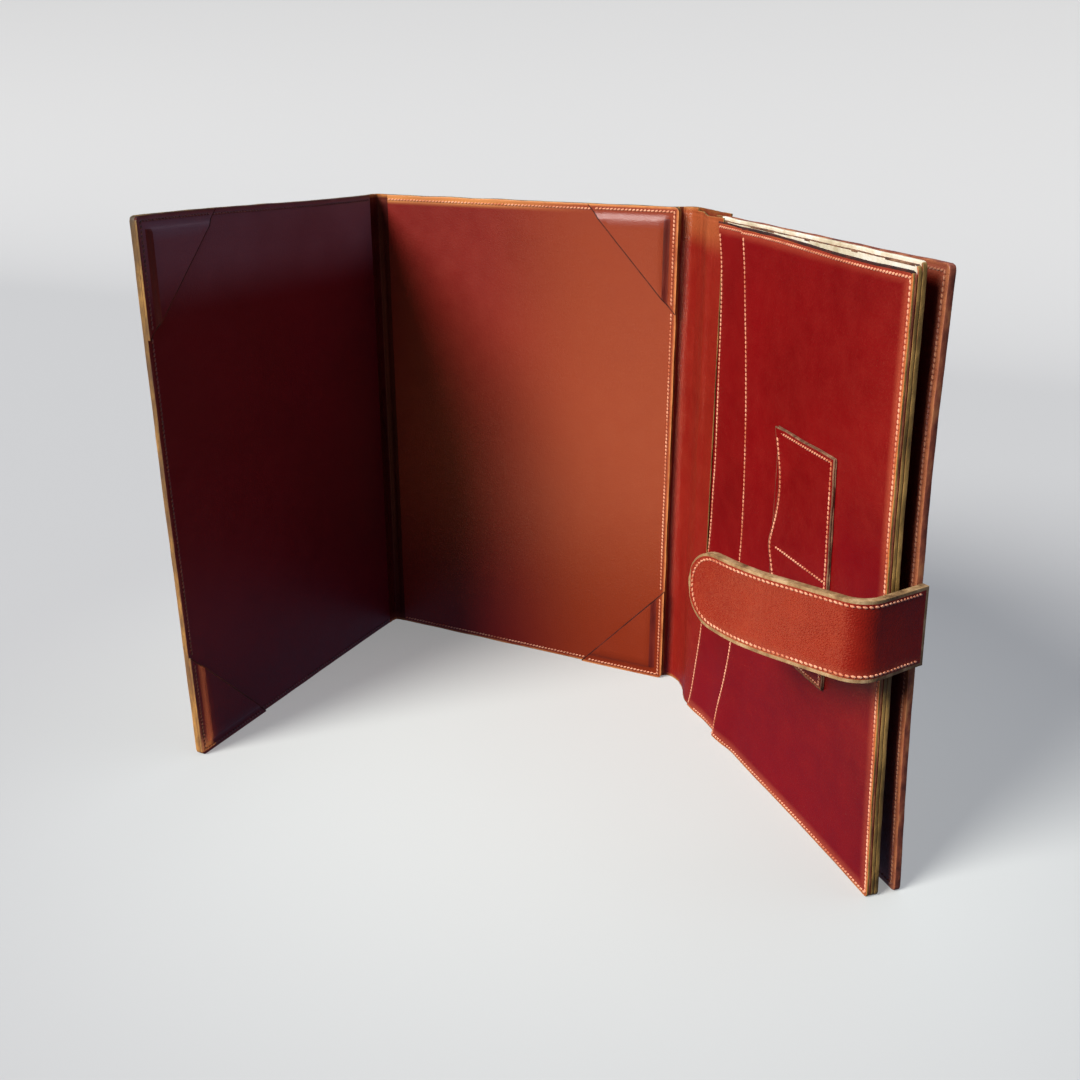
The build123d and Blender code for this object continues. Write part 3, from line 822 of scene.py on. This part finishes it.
def lineLength(points):
    return sum((Vector(b) - Vector(a)).length for a, b in zip(points, points[1:]))


def inFrame(x, y):
    # a point in the row's frame, half way up, from the front cover's plan
    return leafMatrix("front") @ Vector((x, y, 165.0))


# the lining and the outer leather of the spine, as plan lines in the front cover's frame
spineInner = [(221, 6.2), (225.5, 8.4), (229.5, 9.4), (233.8, 8.0), (239.6, 3.2),
              (244.6, -3.2), (248.6, -10.8), (251.8, -18.0), (255.6, -24.0), (261.4, -29.0),
              (269.3, -36.8)]
spineOuter = [(225.0, 5.9), (227.6, 8.6), (230.8, 10.9), (235.2, 9.2), (241.2, 4.2),
              (246.8, -2.0), (251.8, -7.4), (256.6, -12.3), (261.0, -16.4), (264.9, -20.3),
              (268.8, -24.1)]
spineLook = {"ridge": 0.55, "fine": 0.22, "topPucker": 0.7, "column": 1.2}


def spineWrinkle(strength, seed):
    def wrinkle(a, z):
        inside = ease(a / 8) * ease((lineLength(spineInner) - a) / 22)
        ends = ease((z - 235) / 95) + 0.5 * ease((60 - z) / 60)
        long = noise.noise(Vector((a * 0.16, z * 0.012, seed))) * spineLook["ridge"]
        fine = noise.noise(Vector((a * 0.5, z * 0.035, seed + 4))) * spineLook["fine"]
        pucker = noise.noise(Vector((a * 0.34, z * 0.03, seed + 9)))
        return strength * inside * (long + fine + pucker * spineLook["topPucker"] * ends)
    return wrinkle


# each soft piece spans a stretch of its line, across a joint between two bodies
linings = {"line": spineInner, "depth": (0.0, -0.9), "look": "spine", "wrinkle": (1.0, 2.0),
           "slot": "lining_leather"}
outers = {"line": spineOuter, "depth": (0.0, 1.1), "look": "outer", "wrinkle": (0.6, 5.0),
          "slot": "cover_leather"}
innerEnd, outerEnd = lineLength(spineInner), lineLength(spineOuter)
innerMiddle, outerMiddle = lineLength(spineInner[:5]), lineLength(spineOuter[:5])
outerHinge = lineLength(spineOuter[:9])
softPieces = [  # name, kind, where it starts and stops, height, bodies, bend, nodes, open ends
    ("spineLiningFront", linings, 0, innerMiddle, 330.0, ("front_cover", "spine"),
     ((225, 8), (236, 5)), ["spine_lining", "front_hinge_leather"], (-1,)),
    ("spineLiningRear", linings, innerMiddle, innerEnd, 328.5, ("spine", "pocket_leaf"),
     ((250, -9), (262, -28)), ["pocket_hinge_leather"], (1,)),
    ("spineOuterFront", outers, 0, outerMiddle, 330.0, ("front_cover", "spine"),
     ((226, 8), (237, 6)), ["spine_outer_leather"], ()),
    ("spineOuterRear", outers, outerMiddle, outerHinge, 330.0, ("spine", "pocket_leaf"),
     ((254, -9), (261, -15.5)), [], ()),
    ("backHingeLeather", outers, outerHinge, outerEnd, 330.0, ("pocket_leaf", "back_cover"),
     ((261.8, -16.2), (267, -20.9)), ["back_hinge_leather"], ()),
]
for name, kind, start, stop, tall, bodies, bend, stands, openEnds in softPieces:
    columns = max(8, ceil((stop - start) / spineLook["column"]))
    bm = leatherSheet(stop - start, tall, *kind["depth"],
                      softShape(kind["line"], start, spineWrinkle(*kind["wrinkle"])),
                      cells=(columns, 120), radius=0, free=False, seed=6.0,
                      openEnds=openEnds, rim=0.25)
    makePiece(name, bm, "front", [leather[kind["look"]], goldEdge], kind["slot"],
              stands=stands, blend=(*bodies, *(inFrame(*point) for point in bend)))

fold = {"ridges": 4.0, "tail": 5.6, "bend": 91.0}


def foldShape(radius, ridge):
    # round the fold line from the front cover to the flap; x is the way along it
    tail, bend = fold["tail"], radians(fold["bend"])

    def shape(x, y, z):
        reach = radius + y
        length = 2 * tail + bend * radius
        crest = ridge * (0.5 - 0.5 * cos(2 * pi * fold["ridges"] * x / length))
        reach -= (crest * ease(x / 2) * ease((length - x) / 2)
                  + ridge * 0.5 * noise.noise(Vector((x * 0.4, z * 0.03, radius))))
        if x < tail:
            return Vector((tail - x, reach, z))
        angle = pi / 2 + min((x - tail) / radius, bend)
        left = max(0.0, x - tail - bend * radius)
        return Vector((reach * cos(angle) - left * sin(angle),
                       reach * sin(angle) + left * cos(angle), z))
    return shape


for name, radius, depth, look, slot, node, ridge in (
        ("foldLining", 3.85, (-0.5, 0.5), "fold", "lining_leather", "fold_lining", 0.3),
        ("foldOuterLeather", 6.3, (-0.55, 0.62), "outer", "cover_leather",
         "fold_outer_leather", -0.3)):
    length = 2 * fold["tail"] + radians(fold["bend"]) * radius
    bm = leatherSheet(length, leafSize[1], *depth, foldShape(radius, ridge), cells=(28, 90),
                      radius=0, free=False, seed=8.0, openEnds=(), rim=0.25)
    makePiece(name, bm, "front", [leather[look], goldEdge], slot, stands=[node],
              blend=("front_cover", "flap", inFrame(4.8, 4.5), inFrame(-4.5, -4.8)))
print("soft parts made")

# runs: each stretch of the strap in plan, as its length and the degrees it turns
strap = {"low": 136.5, "width": 42.0, "ply": 2.0, "seam": 3.2, "start": (0.0, 0.6),
         "heading": -77.5, "cells": (96, 26), "tab": 21.0,
         "runs": [(33.9, 0.0), (17.9, -73.4), (37.7, 0.0), (27.6, -15.8), (31.1, 0.0)]}
strapLength = sum(run for run, turn in strap["runs"])
halfStrap = strap["width"] / 2


def strapPlace(distance):
    x, y = strap["start"]
    heading = radians(strap["heading"])
    last = len(strap["runs"]) - 1
    for index, (run, turn) in enumerate(strap["runs"]):
        here = distance if index == last else min(distance, run)
        if turn:
            radius = run / radians(turn)
            swept = here / radius
            x += radius * (sin(heading + swept) - sin(heading))
            y -= radius * (cos(heading + swept) - cos(heading))
            heading += swept
        else:
            x += here * cos(heading)
            y += here * sin(heading)
        distance -= here
        if distance <= 0:
            break
    return x, y, heading


def strapShape(x, y, z):
    # z runs up from the strap's lower edge
    px, py, heading = strapPlace(max(0.0, x))
    z += strap["low"]
    middle = strap["low"] + halfStrap
    cup = 0.8 * (1 - ((z - middle) / halfStrap) ** 2) * ease(x / 40)
    wave = 0.5 * noise.noise(Vector((x * 0.05, z * 0.05, 2.0))) * ease(x / 25)
    offset = y + cup + wave
    rooted = bow("back", backSize[0], z) * ease(1 - x / 30)
    return Vector((px + sin(heading) * offset, py - cos(heading) * offset + rooted, z))


def strapTip(x, z):
    past = x - (strapLength - halfStrap)
    if past > 0:
        half = sqrt(max(0.0, halfStrap ** 2 - min(past, halfStrap) ** 2))
        z = halfStrap + (z - halfStrap) * max(half / halfStrap, 0.06)
    return x, z


strapBlend = ("back_cover", "strap", leafMatrix("strap") @ Vector((0, 0.6, 160)),
              leafMatrix("strap") @ Vector((2, -16, 160)))
for name, near, far, node in (
        ("strapOuterPly", 0.04, strap["ply"], "strap_outer_ply"),
        ("strapInnerPly", -0.04, -strap["ply"], "strap_inner_ply")):
    bm = leatherSheet(strapLength, strap["width"], near, far, strapShape,
                      cells=strap["cells"], radius=0, ragged=0.3, seed=9.0, rim=0.9,
                      tip=strapTip, square="near", bareRim=1.7)
    makePiece(name, bm, "strap", [leather["strap"], paleEdge], "strap_leather",
              stands=[node], blend=strapBlend)
bm = bmesh.new()
bend = halfStrap - strap["seam"]
centre = strapLength - halfStrap
arc = [(centre + bend * sin(radians(turn)), halfStrap - bend * cos(radians(turn)))
       for turn in range(0, 181, 12)]
line = [(4.0, strap["seam"])] + arc + [(4.0, strap["width"] - strap["seam"])]
for outward in (1, -1):
    sew(bm, line, outward * strap["ply"], strapShape, outward)
makePiece("strapStitches", bm, "strap", [stitching], "thread", stands=["strap_seams"],
          blend=strapBlend)
# the strap's sewn-in tab, between the back cover's plies and warped with them
bm = leatherSheet(strap["tab"], strap["width"] - 4, -1.9, -0.6,
                  flatLeaf("back", 208.0, strap["low"] + 2), cells=(10, 16), radius=0,
                  free=False, ragged=0)
makePiece("strapAnchor", bm, "back", [leather["strap"], paleEdge], "strap_leather",
          "back_cover", ["strap_anchor"])
print("strap made")

# a pale floor that rises behind the case; it glows as well as being lit, and a painted pool of
# light makes it paler near the case and a little darker away from it
room = {"near": "#b2b8b6", "far": "#9b9d9d", "glow": 0.27, "glowNear": "#fafbf8",
        "glowFar": "#e2e4e4", "reach": 6.0, "wall": 2.1, "sweep": 0.9, "height": 3.0}
reach, wall = room["reach"], room["wall"]
bm = bmesh.new()
line = [bm.verts.new((-reach, y, z))
        for y, z in ((-reach, 0), (wall, 0), (wall, room["height"]))]
edges = [bm.edges.new(pair) for pair in zip(line, line[1:])]
swept = bmesh.ops.extrude_edge_only(bm, edges=edges)["geom"]
bmesh.ops.translate(bm, vec=(2 * reach, 0, 0),
                    verts=[item for item in swept if isinstance(item, bmesh.types.BMVert)])
foot = [edge for edge in bm.edges if len(edge.link_faces) == 2]
bmesh.ops.bevel(bm, geom=foot, affect="EDGES", offset=room["sweep"], segments=24,
                profile=0.5, material=-1)
bmesh.ops.recalc_face_normals(bm, faces=bm.faces[:])
for face in bm.faces:
    face.smooth = True
floor = addObject("studioFloor", toMesh("studioFloor", bm))
paper, tree, shader, add = newMaterial("paleBackdropPaper", {
    "Roughness": 0.95, "Specular IOR Level": 0.0, "Emission Strength": room["glow"]})
away = add("VectorMath", {"operation": "LENGTH"},
           {0: add("TexCoord").outputs["Object"]}).outputs["Value"]
# painted pool of light: the floor is paler and glows more within about half a metre of the case
lightPool = add("MapRange", {"From Min": 0.08, "From Max": 0.5, "interpolation_type": "SMOOTHSTEP"},
             {"Value": away})
for key, near, far in (("Base Color", room["near"], room["far"]),
                       ("Emission Color", room["glowNear"], room["glowFar"])):
    tone = add("Mix", {"data_type": "RGBA", 6: toLinear(near), 7: toLinear(far)}, {0: lightPool})
    tree.links.new(tone.outputs[2], shader.inputs[key])
floor.data.materials.append(paper)
floor.visible_diffuse = floor.visible_glossy = False

# a warm card lying in front of the case, seen only as a soft reflection in the front cover
glowCard = {"place": (-0.95, -1.11, 0.002), "tint": "#f0a050", "power": 5.0}
bm = bmesh.new()
bmesh.ops.create_grid(bm, x_segments=1, y_segments=1, size=1.0)
bmesh.ops.transform(bm, matrix=Matrix.Translation(glowCard["place"]), verts=bm.verts[:])
warmCard = addObject("warmCard", toMesh("warmCard", bm))
warmCard.data.materials.append(newMaterial("warmCardboard", {
    "Emission Color": toLinear(glowCard["tint"]), "Emission Strength": glowCard["power"]})[0])
warmCard.visible_camera = warmCard.visible_diffuse = warmCard.visible_shadow = False

lights = {  # heading: degrees left of straight ahead; height: degrees above the floor
    "keyLight": {"heading": 29.0, "height": 36.0, "soft": 26.0, "power": 5.2,
                 "tint": "#fffaf6"},
    "topLight": {"heading": -150.0, "height": 62.0, "soft": 60.0, "power": 0.9,
                 "tint": "#f2f4ff"},
}
for name, look in lights.items():
    data = bpy.data.lights.new(name, "SUN")
    data.energy, data.angle = look["power"], radians(look["soft"])
    data.color = toLinear(look["tint"])[:3]
    heading, height = radians(look["heading"]), radians(look["height"])
    toLamp = Vector((-sin(heading) * cos(height), -cos(heading) * cos(height), sin(height)))
    addObject(name, data).rotation_euler = (-toLamp).to_track_quat("-Z", "Y").to_euler()

# the room's light is cool and weak on the leather, and pale where the camera sees it
sky = {"light": ("#bcc4f0", 0.18), "seen": ("#e0e1df", 0.8)}
world = bpy.data.worlds.new("softRoom")
world.use_nodes = True
tree = world.node_tree
add = partial(addNode, tree)
background = tree.nodes["Background"]
seen = add("LightPath").outputs["Is Camera Ray"]
skyGlow = add("MapRange", {"To Min": sky["light"][1], "To Max": sky["seen"][1]}, {"Value": seen})
skyTone = add("Mix",
              {"data_type": "RGBA", 6: toLinear(sky["light"][0]), 7: toLinear(sky["seen"][0])},
              {0: seen})
tree.links.new(skyTone.outputs[2], background.inputs[0])
tree.links.new(skyGlow.outputs[0], background.inputs[1])
bpy.context.scene.world = world
bpy.context.scene.view_settings.view_transform = "Standard"

view = {"lens": 40.0, "sensor": 36.0, "right": 0.502, "forward": -0.73265, "height": 0.39765,
        "down": 20.45, "turn": 27}  # measured from the fold between flap and front cover
foldX, foldY, _ = hinges["flap_fold"]
camera = addObject("camera", bpy.data.cameras.new("camera"))
camera.data.lens, camera.data.sensor_width = view["lens"], view["sensor"]
camera.location = (foldX + view["right"], foldY + view["forward"], view["height"])
camera.rotation_euler = (radians(90 - view["down"]), 0, radians(view["turn"]))
bpy.context.scene.camera = camera
bpy.context.view_layer.update()
